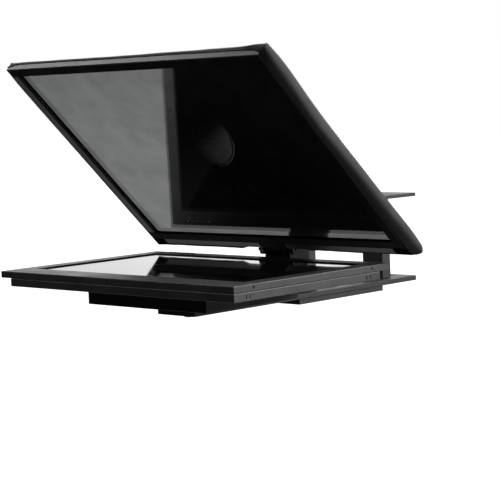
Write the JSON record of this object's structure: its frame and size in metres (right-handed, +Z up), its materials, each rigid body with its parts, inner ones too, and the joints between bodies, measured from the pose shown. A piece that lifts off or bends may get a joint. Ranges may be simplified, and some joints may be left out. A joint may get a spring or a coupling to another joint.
{
  "type": "teleprompter",
  "caption": "Camera teleprompter: a face-up display under a leaning, hooded half-mirror, with a riser that holds the camera behind it.",
  "frame": {"origin": "centre of the sled's underside, the flat face that sits on a tripod plate", "axes": "+Z up, +Y from the presenter towards the camera operator, X across the display"},
  "size_m": [0.644, 0.78, 0.4709],
  "materials": {
    "frame_metal": "satin black anodised",
    "plate_metal": "black anodised, fine satin",
    "casing_paint": "black powder coat, fine texture",
    "screen_glass": "glossy black display cover",
    "half_mirror": "clear half-mirrored glass",
    "hood_fabric": "matt black woven cloth",
    "gasket_rubber": "matt black rubber",
    "screw_steel": "blackened steel, worn on the edges",
    "knob_plastic": "moulded black plastic",
    "button_plastic": "moulded black plastic",
    "circuit_board": "green solder resist",
    "panel_metal": "folded bare sheet",
    "connector_metal": "nickel plate",
    "led_lens": "tinted clear plastic"
  },
  "bodies": {
    "sled": {"sled_plate": "plate_metal", "sled_clamp_screw_1": "screw_steel", "sled_clamp_screw_2": "screw_steel"},
    "base": {"base_plate": "plate_metal", "tilt_bracket": "plate_metal", "hinge_pin": "screw_steel", "front_post": "plate_metal", "rear_post": "plate_metal", "camera_platform": "plate_metal", "platform_screw_1": "screw_steel", "platform_screw_2": "screw_steel", "platform_screw_3": "screw_steel", "platform_screw_4": "screw_steel"},
    "monitor": {"monitor_carriage": "plate_metal", "display_casing": "casing_paint", "display_bezel": "casing_paint", "screen_glass": "screen_glass", "lcd_panel": "panel_metal", "electronics_box": "casing_paint", "video_board": "circuit_board", "power_board": "circuit_board", "button_board": "circuit_board", "button_cover": "casing_paint", "power_inlet": "connector_metal", "video_socket_1": "connector_metal", "video_socket_2": "connector_metal", "power_led": "led_lens", "bezel_screw_front_1": "screw_steel", "bezel_screw_front_2": "screw_steel", "bezel_screw_side_1": "screw_steel", "bezel_screw_side_2": "screw_steel"},
    "button_1": {"button_1": "button_plastic"},
    "button_2": {"button_2": "button_plastic"},
    "button_3": {"button_3": "button_plastic"},
    "button_4": {"button_4": "button_plastic"},
    "button_5": {"button_5": "button_plastic"},
    "button_6": {"button_6": "button_plastic"},
    "monitor_lock": {"monitor_lock_knob": "knob_plastic"},
    "glass_frame": {"rail_bottom": "frame_metal", "rail_top": "frame_metal", "rail_left": "frame_metal", "rail_right": "frame_metal", "bottom_strip_left": "frame_metal", "bottom_strip_right": "frame_metal", "corner_key_1": "frame_metal", "corner_key_2": "frame_metal", "corner_key_3": "frame_metal", "corner_key_4": "frame_metal", "beamsplitter_glass": "half_mirror", "bead_bottom": "gasket_rubber", "bead_top": "gasket_rubber", "bead_left": "gasket_rubber", "bead_right": "gasket_rubber", "hinge_flange": "frame_metal", "hood": "hood_fabric", "hood_drawcord": "gasket_rubber"},
    "tilt_knob": {"tilt_knob": "knob_plastic"},
    "camera_slider": {"camera_screw_washer": "plate_metal"},
    "camera_screw": {"camera_screw": "knob_plastic"}
  },
  "joints": [
    {"name": "base_slide", "type": "slide", "parent": "sled", "child": "base", "axis": [0, 1, 0], "range_m": [-0.04, 0.04]},
    {"name": "monitor_slide", "type": "slide", "parent": "base", "child": "monitor", "axis": [0, 1, 0], "range_m": [-0.02, 0.004]},
    {"name": "monitor_lock_turn", "type": "hinge", "parent": "monitor", "child": "monitor_lock", "pos_m": [0, -0.364, 0.0103], "axis": [0, 0, 1], "continuous": true},
    {"name": "glass_tilt", "type": "hinge", "parent": "base", "child": "glass_frame", "pos_m": [0, -0.12, 0.103], "axis": [1, 0, 0], "range_deg": [-15, 40]},
    {"name": "tilt_knob_turn", "type": "hinge", "parent": "base", "child": "tilt_knob", "pos_m": [0, -0.12, 0.103], "axis": [1, 0, 0], "continuous": true},
    {"name": "camera_slide", "type": "slide", "parent": "base", "child": "camera_slider", "axis": [0, 1, 0], "range_m": [-0.058, 0.058]},
    {"name": "camera_screw_turn", "type": "hinge", "parent": "camera_slider", "child": "camera_screw", "pos_m": [0, 0.05, 0.179], "axis": [0, 0, 1], "continuous": true},
    {"name": "button_1_press", "type": "slide", "parent": "monitor", "child": "button_1", "axis": [0, 0, 1], "range_m": [-0.0007, 0], "stiffness_N_per_m": 400, "springref_m": 0.0005},
    {"name": "button_2_press", "type": "slide", "parent": "monitor", "child": "button_2", "axis": [0, 0, 1], "range_m": [-0.0007, 0], "stiffness_N_per_m": 400, "springref_m": 0.0005},
    {"name": "button_3_press", "type": "slide", "parent": "monitor", "child": "button_3", "axis": [0, 0, 1], "range_m": [-0.0007, 0], "stiffness_N_per_m": 400, "springref_m": 0.0005},
    {"name": "button_4_press", "type": "slide", "parent": "monitor", "child": "button_4", "axis": [0, 0, 1], "range_m": [-0.0007, 0], "stiffness_N_per_m": 400, "springref_m": 0.0005},
    {"name": "button_5_press", "type": "slide", "parent": "monitor", "child": "button_5", "axis": [0, 0, 1], "range_m": [-0.0007, 0], "stiffness_N_per_m": 400, "springref_m": 0.0005},
    {"name": "button_6_press", "type": "slide", "parent": "monitor", "child": "button_6", "axis": [0, 0, 1], "range_m": [-0.0007, 0], "stiffness_N_per_m": 400, "springref_m": 0.0005}
  ]
}
